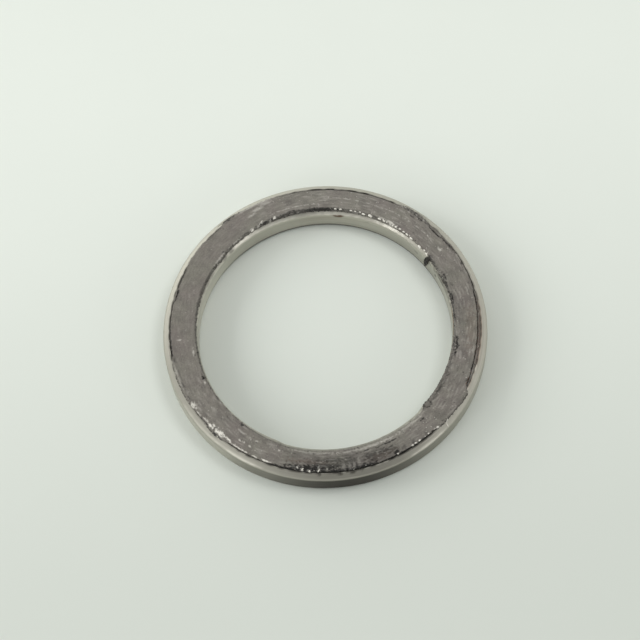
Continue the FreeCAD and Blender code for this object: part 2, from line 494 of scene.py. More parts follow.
# Each line: radius, height, darkness there (soot, and painted shade in the groove at the foot of the outer edge) and
# the number of steps up to the next line.
section_keys = (
    (16.82 + rim_pushed, 2.70 * one, one, 1), (16.89 + rim_pushed, 2.87 * one, one, 1),
    (17.13 + rim_pushed, 3.12 * one, one, 1),
    (inner_foot + 0.10, under_edge, one, 1), (inner_foot, inner_foot_height, slope_darkness, 4),
    (mixed(0.25, inner_foot, inner_top), mixed(0.45, inner_foot_height, 3.8), slope_darkness, 4),
    (mixed(0.75, inner_foot, inner_top), mixed(0.88, inner_foot_height, 3.8), 0.9 * slope_darkness, 3),
    (inner_top, gasket_height * one, 0.4 * slope_darkness, 2), (inner_top + 0.12, gasket_height * one, 0 * one, 28),
    (outer_top, gasket_height * one, 0 * one, 3), (outer_edge, outer_slope - 0.02, 0.25 * one, 2),
    (outer_edge + mixed(lost, 0.03, 0.05), mixed(lost, half_way, 3.58), edge_soot, 2),
    (mixed(lost, outer_edge + 0.035, outer_edge + 0.12), mixed(lost, mixed(0.3, foot_height, half_way), 3.68),
     mixed(lost, edge_soot, 0.25), 3),
    (mixed(lost, foot_radius, 20.09), mixed(lost, foot_height + 0.03, 3.60), mixed(lost, edge_soot, 0.20), 1),
    (foot_radius, foot_height, 0.9 * one, 1), (19.96 * one, 3.30 * one, one, 1), (20.57 * one, 2.89 * one, one, 1),
    (20.68 * one, 2.70 * one, one, 1), (20.68 * one, 0.52 * one, one, 1), (20.48 * one, 0.32 * one, one, 1),
    (17.02 * one, 0.32 * one, one, 1), (16.82 * one, 0.52 * one, one, 1),
)
# The lines from the foot on the bore's rim to the foot on the outer rim are in sight.
first_seen, last_seen = 4, 13
columns = {"r": [], "z": [], "soot_and_shade": []}
visible = []
for index, (*start, steps) in enumerate(section_keys):
    end = section_keys[(index + 1) % len(section_keys)][:3]
    for step in range(steps):
        for name, v0, v1 in zip(columns, start, end):
            columns[name].append(mixed(step / steps, v0, v1))
        visible.append(first_seen <= index <= last_seen)
grid_r, grid_z, grid_soot_and_shade = [np.stack(columns[name], 1) for name in columns]
visible = np.array(visible)
print("section has", grid_r.shape[1], "points, triangles", 2 * grid_r.size)

# %% [markdown]
# ### Marks on the filler
# The rubbed face carries pits, soot, bright smears of wire and brown heat stains. They could be one noise texture,
# but then they would sit anywhere. Here a list gives each mark's place, and one function lays it
# on the grid with a ragged outline. Part of the soot is painted shade in the groove along the edges and at the front,
# and the far side is paler by a painted sheen.

# %% Marks on the filler
grid_b = bearing[:, None] + 0 * grid_r
raggedness = uneven(grid_b, grid_r, 21, 20, 260, waves=60)
layers = {name: np.zeros(grid_r.shape) for name in ("soot_and_shade", "rub_and_highlight", "tint", "pit")}


def mark(middle, radius, half_angle, half_width, amount, ragged=0.45, where=(grid_b, grid_r, raggedness)):
    """One mark with a soft, ragged outline; where gives each point's bearing, radius and unevenness."""
    b, r, uneven_edge = where
    away = np.hypot(bearing_gap(b, middle) / half_angle, (r - radius) / half_width) + ragged * uneven_edge
    return amount * np.clip(1.8 * (1.1 - away), 0, 1)


# For each layer: bearing, radius, half length in degrees, half width in millimetres and amount of its marks,
# and how ragged a mark is where it isn't 0.45
# Thin soot lines near 20 mm radius along the outer edge are partly painted shade in the groove beside the rim.
marks = (
    # dark broken zone at the front edge, with painted shade in the groove at 28 and 170 degrees
    ("soot_and_shade", (
        (350, 19.80, 8.5, 0.50, 1.0), (345, 19.75, 3, 0.35, 0.8), (2, 20.00, 8, 0.20, 0.85),
        (10, 19.95, 5, 0.28, 0.70), (356, 19.35, 8, 0.30, 0.45), (358, 18.6, 6, 0.35, 0.35),
        (14, 18.9, 3.5, 0.45, 0.35), (19, 18.85, 4.0, 0.40, 0.50), (23, 19.80, 1.0, 0.45, 0.75),
        (5, 18.9, 2.5, 0.6, 0.30), (26, 19.6, 1.4, 0.3, 0.35), (30.5, 19.65, 0.9, 0.25, 0.4),
        (36, 19.7, 0.8, 0.2, 0.35), (3.7, 19.5, 0.35, 0.5, 0.25), (5.8, 19.5, 0.35, 0.5, 0.25),
        (7.5, 19.4, 0.35, 0.6, 0.25), (10.2, 19.4, 0.5, 0.5, 0.25), (354, 19.3, 10, 0.55, 0.35),
        (17, 19.35, 6, 0.4, 0.30), (28, 20.02, 14, 0.06, 0.9), (170, 19.96, 25, 0.08, 1.0, 0.08),
        (21, 19.2, 4, 0.5, 0.25),
    )),
    ("pit", ((349, 19.85, 7, 0.38, 1.0), (2, 19.95, 6, 0.15, 0.8), (11, 19.9, 4, 0.2, 0.7),)),
    ("tint", ((17, 19.3, 7, 0.5, 0.30), (350, 18.9, 9, 0.4, 0.30),)),
    ("rub_and_highlight", (
        (345.8, 19.75, 0.6, 0.12, 0.6), (347.6, 20.0, 0.35, 0.14, 0.9), (350.2, 20.05, 0.4, 0.12, 0.9),
        (353.4, 19.95, 0.35, 0.20, 1.0), (356.5, 19.7, 0.35, 0.3, 0.30), (2.6, 19.5, 0.7, 0.55, 0.14),
        (4.9, 19.6, 0.6, 0.55, 0.14), (6.6, 19.5, 0.5, 0.5, 0.12), (8.6, 19.3, 0.7, 0.65, 0.14),
        (23.0, 19.97, 0.40, 0.10, 0.9, 0.1), (29.2, 19.94, 0.50, 0.11, 1.0, 0.1), (30.6, 19.93, 0.50, 0.12, 1.0, 0.1),
        (32.3, 19.95, 0.55, 0.13, 1.0, 0.1), (34.8, 19.97, 0.30, 0.08, 0.7, 0.1), (36.5, 19.95, 0.45, 0.10, 0.9, 0.1),
        (40.6, 20.12, 0.60, 0.13, 1.0, 0.1), (39.5, 20.00, 0.35, 0.08, 0.6, 0.1),
    )),
    # worn slope on the inner side of the front
    ("soot_and_shade", (
        (12.5, 18.02, 1.6, 0.12, 0.7), (21.5, 18.08, 5.5, 0.11, 0.75), (38.8, 18.0, 1.0, 0.16, 0.85),
        (5, 18.1, 5, 0.10, 0.35), (28, 17.5, 5, 0.07, 0.35), (352, 17.6, 6, 0.10, 0.35),
    )),
    ("rub_and_highlight", ((14, 17.60, 16, 0.22, 0.22), (350, 17.55, 10, 0.18, 0.20), (33, 17.5, 7, 0.2, 0.18),)),
    # the right side
    ("soot_and_shade", (
        (75.6, 17.24, 2.6, 0.13, 1.0, 0.3), (78.0, 17.12, 2.2, 0.11, 1.0, 0.3), (72.3, 17.28, 0.9, 0.09, 1.0),
        (56, 17.15, 9, 0.22, 0.45), (48.5, 17.2, 1.2, 0.25, 0.5), (66, 16.9, 16, 0.14, 0.50),
        (72, 17.20, 1.3, 0.18, 0.90), (75.5, 17.22, 1.8, 0.24, 1.00), (78.8, 17.1, 1.2, 0.18, 0.9),
        (77, 16.75, 3.0, 0.08, 0.7), (67.5, 19.75, 1.6, 0.07, 0.8), (62, 19.70, 0.8, 0.10, 0.5),
        (96, 19.86, 4.0, 0.09, 0.9), (90, 16.82, 6, 0.08, 0.7), (98, 16.98, 3.8, 0.14, 0.9),
        (106.0, 16.85, 1.6, 0.18, 0.9), (109.3, 17.08, 2.4, 0.12, 0.95), (120.2, 16.85, 1.3, 0.20, 0.9),
        (111.5, 19.82, 0.6, 0.13, 0.9), (105, 17.4, 1.2, 0.2, 0.35), (117.5, 16.85, 1.2, 0.12, 0.6),
        (99.5, 19.2, 1.5, 0.12, 0.3),
    )),
    ("pit", (
        (72, 17.20, 1.2, 0.16, 0.8), (75.5, 17.2, 1.6, 0.20, 1.0), (79, 17.1, 1.0, 0.14, 0.8),
        (108, 16.95, 2.5, 0.12, 0.8),
    )),
    ("tint", (
        (84, 18.9, 11, 0.8, 0.22), (62, 19.85, 1.9, 0.10, 1.0), (65.8, 19.8, 1.3, 0.10, 1.0),
        (80, 19.72, 9, 0.07, 0.9), (82, 19.98, 15, 0.05, 0.8),
    )),
    ("rub_and_highlight", ((121, 18.5, 1.4, 0.12, 0.45), (100, 19.1, 1.5, 0.12, 0.25),)),
    # the far right, broken and smeared over the rim
    ("soot_and_shade", (
        (121.5, 19.82, 3.2, 0.11, 0.9), (128, 19.66, 4.0, 0.11, 0.95), (138.5, 20.15, 7.0, 0.34, 0.38),
        (134.2, 20.2, 0.8, 0.2, 0.6), (140.8, 20.25, 0.9, 0.2, 0.6), (133, 19.85, 1.8, 0.10, 0.7),
        (136.5, 19.85, 1.4, 0.20, 0.9), (139.3, 19.5, 1.3, 0.08, 0.7), (142.5, 20.1, 1.4, 0.25, 0.5),
        (160, 19.2, 1.6, 0.06, 0.4),
    )),
    ("rub_and_highlight", (
        (141.5, 19.85, 0.9, 0.10, 0.3), (134.8, 20.0, 0.5, 0.10, 0.3), (138.2, 20.1, 0.5, 0.12, 0.35),
        (143.6, 20.2, 0.6, 0.12, 0.3),
    )),
    ("pit", ((139, 20.1, 6.5, 0.25, 1.0),)),
    # the far side
    ("rub_and_highlight", (
        (146, 17.20, 3.5, 0.20, 0.55), (150, 17.25, 2, 0.14, 0.30), (187.5, 17.08, 1.0, 0.08, 0.3),
        (200.4, 17.1, 0.7, 0.12, 0.35), (206.5, 17.12, 0.7, 0.14, 0.4), (210, 17.12, 1.4, 0.12, 0.45),
        (198.5, 17.3, 0.6, 0.12, 0.7), (204.6, 17.35, 0.5, 0.12, 0.5), (219, 17.05, 5, 0.06, 0.3),
        (199.5, 19.75, 2.8, 0.32, 0.22, 0.2), (203, 19.35, 2.8, 0.28, 0.24, 0.2),
        (206.5, 18.90, 2.4, 0.20, 0.22, 0.2), (203, 20.05, 9, 0.16, 0.30, 0.2),
    )),
    ("soot_and_shade", (
        (178, 17.12, 8, 0.16, 0.95), (191, 17.36, 2.6, 0.12, 0.85), (203, 17.10, 2.4, 0.16, 0.95),
        (195, 17.16, 4, 0.12, 0.55), (212, 17.1, 2.5, 0.08, 0.6), (163, 17.10, 3, 0.10, 0.8),
        (153, 17.14, 1.3, 0.10, 0.7), (144, 17.02, 11, 0.05, 0.40), (215, 20.30, 3.4, 0.28, 0.85),
        (222, 20.02, 4.5, 0.06, 0.75),
    )),
    ("pit", ((184, 17.12, 18, 0.12, 0.7),)),
    # the left side
    ("soot_and_shade", (
        (226.5, 17.2, 0.8, 0.16, 0.8), (246, 16.95, 14, 0.10, 0.40), (252, 19.80, 2.4, 0.16, 0.95),
        (247, 19.93, 7, 0.08, 0.80), (265, 20.02, 10, 0.07, 0.75), (272, 19.96, 7, 0.10, 0.85),
        (286, 19.75, 7, 0.14, 0.30), (275.8, 17.25, 0.5, 0.10, 0.6), (279, 17.15, 0.5, 0.10, 0.6),
        (290.0, 17.08, 1.3, 0.20, 0.95), (278.8, 19.9, 1.2, 0.14, 0.6), (289.5, 19.85, 1.4, 0.12, 0.6),
        (295.5, 19.9, 1.4, 0.10, 0.6), (318.3, 17.18, 1.0, 0.18, 1.0),
    )),
    ("rub_and_highlight", (
        (230, 17.0, 4.0, 0.14, 0.30), (271, 18.85, 0.35, 0.38, 0.40), (286, 19.98, 7, 0.12, 0.22),
        (277, 17.25, 2.2, 0.12, 0.40), (292.3, 17.2, 1.2, 0.14, 0.5),
    )),
    ("pit", ((290.0, 17.05, 1.2, 0.16, 0.9), (318, 17.15, 1.0, 0.16, 0.9),)),
    # the front left, with foil-like wire laid bare
    ("rub_and_highlight", (
        (298.6, 19.85, 1.6, 0.26, 0.75), (303, 19.95, 1.4, 0.08, 0.4), (309.3, 19.90, 1.9, 0.17, 1.0),
        (313.4, 19.80, 2.7, 0.31, 1.0, 0.5), (316.9, 19.72, 2.0, 0.15, 0.9, 0.5), (309.9, 19.55, 0.9, 0.12, 0.8, 0.3),
        (306, 19.8, 1.4, 0.1, 0.5), (323.0, 19.93, 3.8, 0.08, 1.0, 0.3), (329, 19.94, 1.2, 0.08, 0.9),
        (334, 19.94, 1.8, 0.11, 1.0), (321.4, 19.0, 0.5, 0.11, 0.6), (323.2, 18.95, 0.4, 0.09, 0.5),
        (326, 19.05, 0.6, 0.12, 0.6), (320.5, 17.98, 2.4, 0.07, 0.35), (347.2, 19.90, 0.6, 0.30, 0.30),
        (349.7, 19.95, 0.8, 0.24, 0.28), (353.5, 19.62, 0.5, 0.50, 0.30), (320.6, 17.95, 2.8, 0.15, 0.20),
        (318.8, 17.92, 0.8, 0.12, 0.25), (300.8, 19.50, 2.2, 0.22, 0.14), (310, 17.98, 0.6, 0.08, 0.40),
        (327.5, 18.0, 0.6, 0.08, 0.40), (333.5, 18.0, 0.8, 0.08, 0.40), (337.2, 18.05, 0.4, 0.12, 0.5),
        (305, 18.6, 15, 0.8, 0.03),
    )),
    ("soot_and_shade", (
        (298.6, 19.82, 0.5, 0.10, 0.8), (314.6, 19.86, 0.5, 0.09, 0.7), (312.0, 19.70, 0.4, 0.10, 0.6),
        (316.4, 19.80, 0.4, 0.08, 0.6), (310.4, 19.98, 0.4, 0.08, 0.6), (311.3, 19.55, 0.5, 0.12, 0.6),
        (312.8, 20.28, 2.2, 0.14, 0.9), (307, 20.06, 3.0, 0.07, 0.8), (340, 20.02, 6, 0.09, 0.9),
        (341, 17.9, 3, 0.14, 0.35),
    )),
)


def lay(layers, name, drawn):
    """Lays a drawing on a layer; where two meet, the stronger one shows."""
    layers[name] = np.maximum(layers[name], drawn)


for layer, places in marks:
    for place in places:
        lay(layers, layer, mark(*place))
print(sum(len(places) for layer, places in marks), "marks")

# %% Rub marks, streaks and the burr
# Short light dashes lie in rows on the far side, where the collar rubbed hardest.
dash_places = [(131 + 4.4 * i, 18.66 + 0.02 * (i % 5)) for i in range(11)] + [(180 + 4 * i, 17.86) for i in range(5)]
for middle, radius in dash_places:
    lay(layers, "rub_and_highlight", mark(middle, radius, 1.9, 0.07, 0.28))
dashes = uneven(grid_b, grid_r, 41, 6, 70, waves=80, stretch=3.0)
blotches = uneven(grid_b, grid_r, 42, 4, 60, waves=60)
specks = uneven(grid_b, grid_r, 43, 80, 420, waves=80)
broad = uneven(grid_b, grid_r, 44, 3, 24, waves=40)
# The left side is rubbed smoothest, so the mottling is weaker there; the front has marks enough of its own.
mottled = 1.35 - 0.75 * within(grid_b, 247, 36, 50) - 0.35 * within(grid_b, 8, 20, 32)
layers["rub_and_highlight"] += mottled * (0.10 * np.clip(dashes - 0.30, 0, 1) + 0.45 * np.clip(-specks - 1.15, 0, 1))
layers["soot_and_shade"] += mottled * (
    0.07 * np.clip(broad, 0, 1) + 0.12 * np.clip(-dashes - 0.30, 0, 1)
    + 0.13 * np.clip(blotches - 0.1, 0, 1) + 0.45 * np.clip(specks - 0.85, 0, 1))
# The front is darker towards its outer edge; this darkening is painted shade.
layers["soot_and_shade"] += swell(grid_b, 4, 20.0) * (
    0.17 + 0.19 * smooth_step(grid_r, 17.9, 18.5) + 0.16 * smooth_step(grid_r, 18.8, 19.8))
# The foil-like patch is folded: dark creases part it.
creases = (
    (310.9, 19.85, 0.25, 0.45), (312.3, 19.66, 0.3, 0.10), (314.7, 19.88, 0.7, 0.06), (316.2, 19.78, 0.3, 0.10),
    (313.4, 19.98, 0.3, 0.07),
)
for crease in creases:
    cut = mark(*crease, 1.0)
    layers["rub_and_highlight"] *= 1 - 0.85 * cut
    lay(layers, "soot_and_shade", 0.6 * cut)
# The tone also drifts round the ring: paler at the far side, by a painted sheen, and darker in two places on the
# right.
layers["rub_and_highlight"] += 0.035 * swell(grid_b, 172, 45.0)
for middle, width, radius, amount in ((92, 18.0, 17.6, 0.09), (50, 16.0, 19.5, 0.10)):
    layers["soot_and_shade"] += amount * np.exp(-(bearing_gap(grid_b, middle) / width) ** 2 - ((grid_r - radius) / 0.6) ** 2)
# A rounded burr hangs over the rim on the right. It is grey with a dark, rough outline.
from_burr = np.hypot(bearing_gap(grid_b, 45.2) / 1.7, (grid_r - 17.08) / 0.44) + 0.12 * raggedness
burr_outline = np.exp(-((from_burr - 0.95) / 0.22) ** 2)
lay(layers, "soot_and_shade", np.maximum(0.80 * burr_outline, 0.32 * (from_burr < 0.95)))
lay(layers, "pit", 0.7 * burr_outline)
layers["soot_and_shade"] = np.clip(np.maximum(layers["soot_and_shade"], grid_soot_and_shade * (1 + 0.35 * raggedness)), 0, 1)
layers["rub_and_highlight"] = np.clip(layers["rub_and_highlight"], 0, 1) * (1 - smooth_step(grid_soot_and_shade, 0.6, 0.9))
layers["rings"] = within(grid_b, 82, 9, 18) * smooth_step(grid_r, 19.66, 19.74)
print("mean soot", round(float(layers["soot_and_shade"][:, visible].mean()), 3))

# %% Mesh of the filler
def grid_mesh(name, b, r, z):
    """Closed ring mesh from a grid of bearings by section points, faces outwards."""
    rows, cols = r.shape
    points = ring_place(b, r, z).reshape(-1, 3)
    i, k = np.meshgrid(np.arange(rows), np.arange(cols), indexing="ij")
    ahead, out = (i + 1) % rows, (k + 1) % cols
    faces = np.stack([i * cols + k, i * cols + out, ahead * cols + out, ahead * cols + k], -1).reshape(-1, 4)
    mesh = bpy.data.meshes.new(name)
    mesh.from_pydata(points.tolist(), [], faces.tolist())
    smooth_faces(mesh)
    return mesh


broken = np.clip(layers["pit"] + grid_soot_and_shade, 0, 1) * visible
fine = uneven(grid_b, grid_r, 31, 60, 420, waves=60)
coarse = uneven(grid_b, grid_r, 32, 10, 120, waves=48)
sunk = 0.014 * np.abs(coarse) + 0.010 * np.abs(fine) + 0.12 * layers["pit"] * (0.6 + 0.5 * fine)
grid_z = grid_z - visible * np.maximum(0, sunk) * smooth_step(grid_z, 3.45, 3.75)
grid_r = grid_r + broken * 0.05 * fine
filler_mesh = grid_mesh("graphite_filling", grid_b, grid_r, grid_z)
paint(filler_mesh, broken=broken, **{name: layers[name] for name in ("soot_and_shade", "rub_and_highlight", "tint", "rings")})
filler = in_scene("graphite_filling", filler_mesh)
print("filler has", len(filler_mesh.polygons), "faces")

# %% [markdown]
# ### Rubbed graphite
# Graphite that a pipe collar has pressed and turned against is burnished: a dull metallic grey with fine rub marks
# that run round the ring, mottled purple-brown and olive. Where it has broken away it is near black and rough.
# The shader is part metallic, because rubbed graphite shines like metal but darkly.

# %% Rubbed graphite
rubbed_graphite, tree = new_material("rubbed_graphite")
place = millimetre_place(tree)
x, y, z, radius = ring_coordinates(tree, place)
# Rub marks are about 0.15 mm apart on the real face.
rubs = add(tree, "ShaderNodeTexNoise", {
    "Vector": streak_place(tree, x, y, radius, 0.30, 4.5), "Scale": 1.0, "Detail": 5.0, "Roughness": 0.7})
# Patches of some millimetres, clouds of one millimetre and grains of a fifth of a millimetre.
patches, clouds, grains = [
    add(tree, "ShaderNodeTexNoise", {"Vector": place, "Scale": scale, "Detail": detail, "Roughness": roughness})
    for scale, detail, roughness in ((0.28, 3.0, 0.5), (1.1, 6.0, 0.68), (5.5, 3.0, 0.75))]
# Each pattern gets more contrast before it mixes in its colour.
shares = [
    add(tree, "ShaderNodeMath", contrast, operation="MULTIPLY_ADD")
    for contrast in ((patches, 3.0, -1.0), (clouds, 2.0, -0.80), (rubs, 1.4, -0.62), (grains, 1.6, -0.68))]
soot_and_shade, rub_and_highlight, heat = painted_marks(tree, radius)
metal = add(tree, "ShaderNodeMath", (soot_and_shade, -0.30, 0.32), operation="MULTIPLY_ADD")
mottling = zip(shares, ("#857d78", "#6d6862", "#99958d", "#605c57"))
# Here the soot colour also lays painted shade and the shine colour a painted sheen, where the painted layers ask for
# them.
dress(tree, "#868379", (*mottling, (heat, "#6b4f40"), (soot_and_shade, "#201e1c"), (rub_and_highlight, "#efebe2")), 0.34,
      ((soot_and_shade, 0.35), (rubs, 0.20)), ((rubs, 0.35, 0.06), (grains, 0.45, 0.08)), {"Metallic": metal})
filler_mesh.materials.append(rubbed_graphite)

# %% [markdown]
# ### Broken bits
# Along its torn edges the filling crumbles into bits of a few hundredths of a millimetre. They repeat without rule,
# so Geometry Nodes scatters one small lump over the filler, dense where an attribute says that it is broken.

# %% Broken bits
crumble, given = new_tree("crumble", (
    ("Bit radius", "Float"), ("Bits per square metre", "Float"), ("Top", "Float"), ("Seed", "Int"),
    ("Material", "Material")))
weak = add(crumble, "GeometryNodeInputNamedAttribute", {"Name": "broken"}, data_type="FLOAT")
density = add(crumble, "ShaderNodeMath", (weak, given["Bits per square metre"]), operation="MULTIPLY")
scattered = add(crumble, "GeometryNodeDistributePointsOnFaces", {
    "Mesh": given["Geometry"], "Density": density, "Seed": given["Seed"]}, distribute_method="RANDOM")
lump = add(crumble, "GeometryNodeMeshIcoSphere", {"Radius": given["Bit radius"], "Subdivisions": 1})
size = add(crumble, "FunctionNodeRandomValue", {2: 0.4, 3: 1.7, "Seed": given["Seed"]}, data_type="FLOAT")
tumble = add(crumble, "FunctionNodeRandomValue", {
    0: (0, 0, 0), 1: (6.28, 6.28, 6.28), "Seed": given["Seed"]}, data_type="FLOAT_VECTOR")
placed = add(crumble, "GeometryNodeInstanceOnPoints", {
    "Points": scattered, "Instance": lump, "Rotation": tumble, "Scale": size})
realised = add(crumble, "GeometryNodeRealizeInstances", (placed,))
# A bit that would stand above the rubbed face is rubbed off level with it.
x, y, z = add(crumble, "ShaderNodeSeparateXYZ", (add(crumble, "GeometryNodeInputPosition"),)).outputs
lowered = add(crumble, "ShaderNodeMath", (z, given["Top"]), operation="MINIMUM")
level = add(crumble, "ShaderNodeCombineXYZ", (x, y, lowered))
rubbed_off = add(crumble, "GeometryNodeSetPosition", {"Geometry": realised, "Position": level})
close_tree(crumble, rubbed_off, given["Material"])

# %% Bits in place
# Crumbled graphite is matt and near black, because its open grains swallow the light.
crumbled, tree = new_material("crumbled_graphite")
dust = add(tree, "ShaderNodeTexNoise", {"Vector": millimetre_place(tree), "Scale": 4.0, "Detail": 2.0})
dust_share = add(tree, "ShaderNodeMath", (dust, 3.0, -1.1), operation="MULTIPLY_ADD")
dress(tree, "#151412", ((dust_share, "#423e3a"),), 0.6, plain={"Metallic": 0.2})
bed = in_scene("crumb_bed", filler_mesh)
add_tree(bed, crumble, {
    "Bit radius": 0.045 * MM, "Bits per square metre": 22.0 / MM ** 2, "Top": 3.79 * MM, "Seed": 8,
    "Material": crumbled})
crumbs = finished(bed, "graphite_crumbs")
print("crumbs have", len(crumbs.data.polygons), "faces")

# %% [markdown]
# ### Hanging flake
# One black flake of the filling has bent over the rim and hangs a little way into the bore.
# It is a short strip that follows six points down over the rim, thick in the middle and ragged at its edges.

# %% Hanging flake
flake_line = np.array([(16.86, 3.52), (16.64, 3.38), (16.44, 3.06), (16.35, 2.58), (16.33, 2.00), (16.36, 1.35)])
flake_bearing, flake_thickness = 121.1, 0.28
along = np.linspace(0, len(flake_line) - 1, 26)
flake_r = np.interp(along, range(len(flake_line)), flake_line[:, 0])[:, None]
flake_z = np.interp(along, range(len(flake_line)), flake_line[:, 1])[:, None]
turn = np.linspace(0, 2 * math.pi, 14, endpoint=False)[None, :]
taper = np.sin(np.linspace(0.35, math.pi - 0.25, 26))[:, None] ** 0.6
lumpy = 1 + 0.28 * np.sin(5 * along[:, None] + 2 * turn) + 0.18 * np.sin(11 * along[:, None] - 3 * turn + 1)
flake_b = flake_bearing + 1.10 * taper * lumpy * np.cos(turn) + 0.20 * (along[:, None] - 1)
side_r = flake_r + flake_thickness / 2 * taper * lumpy * np.sin(turn)
side_z = flake_z + 0.10 * taper * np.sin(turn)
flake_points = ring_place(flake_b, side_r, side_z)
tips = ring_place(np.array([flake_b[0].mean(), flake_b[-1].mean()]), flake_line[[0, -1], 0], flake_line[[0, -1], 1])
rows, cols = flake_b.shape
quads = [(i * cols + k, i * cols + (k + 1) % cols, (i + 1) * cols + (k + 1) % cols, (i + 1) * cols + k)
         for i in range(rows - 1) for k in range(cols)]
caps = [(rows * cols, (k + 1) % cols, k) for k in range(cols)]
caps += [(rows * cols + 1, (rows - 1) * cols + k, (rows - 1) * cols + (k + 1) % cols) for k in range(cols)]
flake_mesh = bpy.data.meshes.new("hanging_flake")
flake_mesh.from_pydata(flake_points.reshape(-1, 3).tolist() + tips.tolist(), [], quads + caps)
smooth_faces(flake_mesh)
flake_mesh.materials.append(crumbled)
flake = in_scene("hanging_flake", flake_mesh)
print("flake has", len(flake_mesh.polygons), "faces")

# %% [markdown]
# ### Marks on the steel
# The same marks belong on the steel: soot beside the filling, partly painted shade in the groove, brown rings on the
# right-hand rim, a rust spot inside the bore. They are painted on the swept mesh's own points. Painted shade also
# darkens the front and the foot of the bore, and painted highlights brighten the bend and the lip of the bore.

# %% Marks on the steel
on_rim = smooth_step(steel_z, 2.6, 3.0)
steel_layers = {name: np.zeros(len(steel_z)) for name in ("soot_and_shade", "rub_and_highlight", "tint")}
# For each layer, as above: on the rims only
rim_marks = (
    # The soot along the tip of the outer lip, near 20.15 mm, is painted shade in the groove beside the filling.
    ("soot_and_shade", (
        (0, 20.15, 60, 0.05, 0.7), (120, 20.15, 70, 0.05, 0.5), (240, 20.15, 60, 0.05, 0.6),
        (109, 16.78, 9, 0.22, 0.75, 0.2), (246, 16.75, 17, 0.20, 0.50, 0.2), (139.5, 20.48, 7, 0.2, 0.35),
        (215, 20.55, 4, 0.2, 0.5), (312, 20.45, 3, 0.1, 0.4), (227, 16.75, 6, 0.20, 0.5),
        (108.5, 16.68, 3.2, 0.07, 0.9), (111.5, 16.80, 2.0, 0.07, 0.8), (114, 16.60, 0.7, 0.07, 0.8),
        (97, 16.8, 5, 0.08, 0.6), (5, 20.22, 10, 0.16, 0.80, 0.6), (28, 20.17, 14, 0.06, 0.9),
        (347, 20.22, 9, 0.08, 0.8), (171, 20.15, 24, 0.05, 0.9), (128, 20.14, 8, 0.05, 0.6),
    )),
    ("tint", ((80, 20.20, 18, 0.12, 0.35, 0.15),)),
    # painted highlights on the lip of the bore
    ("rub_and_highlight", (
        (213, 16.78, 7, 0.16, 0.45), (146, 16.78, 9, 0.14, 0.6), (172, 16.74, 16, 0.18, 0.6, 0.2),
        (197, 16.74, 12, 0.18, 0.6, 0.2),
    )),
    # the bend carries painted highlights in two places
    ("rub_and_highlight", ((325, 20.78, 9, 0.16, 0.6, 0.15), (35, 20.84, 8, 0.13, 0.5, 0.15), (307, 20.80, 13, 0.12, 0.35, 0.2),)),
    # the rim beside the filling's step, and the near lip of the bore, are dull
    ("tint", ((62, 20.20, 4.5, 0.13, 0.5, 0.2),)),
    ("soot_and_shade", ((62, 20.20, 4.5, 0.13, 0.3, 0.2), (8, 16.85, 45, 0.25, 0.42, 0.2),)),
)
steel_points_uneven = (steel_b, steel_r, uneven(steel_b, steel_r, 22, 8, 110))
for layer, places in rim_marks:
    for place in places:
        lay(steel_layers, layer, mark(*place, where=steel_points_uneven) * on_rim)
in_bore, on_outside = steel_r < 17, steel_r > 20.4
rust = np.clip(1.9 * (1 - np.hypot(bearing_gap(steel_b, 169.5) / 3.0, (steel_z - 2.87) / 0.26)), 0, 1) * in_bore
lay(steel_layers, "tint", rust)
lay(steel_layers, "soot_and_shade", 0.45 * rust)
# Layer, bearing, height, half length, half height, amount: on the wall of the bore
wall_marks = (
    ("rub_and_highlight", 102, 1.4, 20, 2.4, 0.35), ("soot_and_shade", 107, 2.9, 12, 0.35, 0.4), ("soot_and_shade", 108.5, 2.75, 3.2, 0.30, 0.7),
    ("soot_and_shade", 114, 2.0, 0.8, 0.35, 0.7), ("soot_and_shade", 129, 2.1, 2.2, 0.25, 0.25), ("soot_and_shade", 156, 2.6, 2.2, 0.2, 0.25),
    ("rub_and_highlight", 246, 1.2, 38, 3.2, 0.65), ("tint", 176, 2.3, 26, 0.8, 0.22),
)
# Soot is torn at its edge; rubbed and tinted places fade out softly.
torn_edge = 0.3 * uneven(steel_b, steel_z, 22, 8, 110)
for layer, b, z, half_length, half_height, amount in wall_marks:
    inside = 1 - np.hypot(bearing_gap(steel_b, b) / half_length, (steel_z - z) / half_height)
    fade = smooth_step(inside - torn_edge, 0.0, 0.4) if layer == "soot_and_shade" else smooth_step(inside, 0.0, 1.0)
    lay(steel_layers, layer, amount * fade * in_bore * (steel_z < 3.15))
# The outer wall is painted brighter at the left as a painted reflection, and darker at the front as painted shade, as
# is the rim above it.
lay(steel_layers, "rub_and_highlight", 0.35 * within(steel_b, 305, 8, 24) * on_outside * (1 - on_rim))
front_wall_painted_shade = swell(steel_b, 3, 37.0) * on_outside * (1 - smooth_step(steel_z, 2.70, 3.15))
front_rim_painted_shade = swell(steel_b, 11, 30.0) * (steel_r > 20) * on_rim
lay(steel_layers, "soot_and_shade", np.maximum(0.88 * front_wall_painted_shade, 0.29 * front_rim_painted_shade))
# The foot of the far bore wall is painted dark: a painted contact shadow where the ring stands on the table.
lay(steel_layers, "soot_and_shade", 0.85 * within(steel_b, 168, 72, 88) * in_bore * (1 - smooth_step(steel_z, 0.40, 0.75)))
steel_layers["rings"] = within(steel_b, 82, 9, 18) * on_rim * (1 - smooth_step(steel_r, 20.25, 20.45))
paint(channel.data, **steel_layers)
print(sum(len(places) for layer, places in rim_marks), "marks on the rims,", len(wall_marks), "on the bore's wall")

# %% [markdown]
# ## Wire crests
# Loops of the knitted wire show as a row of bright dots along the inner edge and a few at the outer one.
# Each is the top of a bent wire that the pipe collar has rubbed bare. They repeat, so one small bent wire
# is instanced on the points of a list by Geometry Nodes, each turned along the ring.

# %% Wire crests
wire_diameter = 0.24
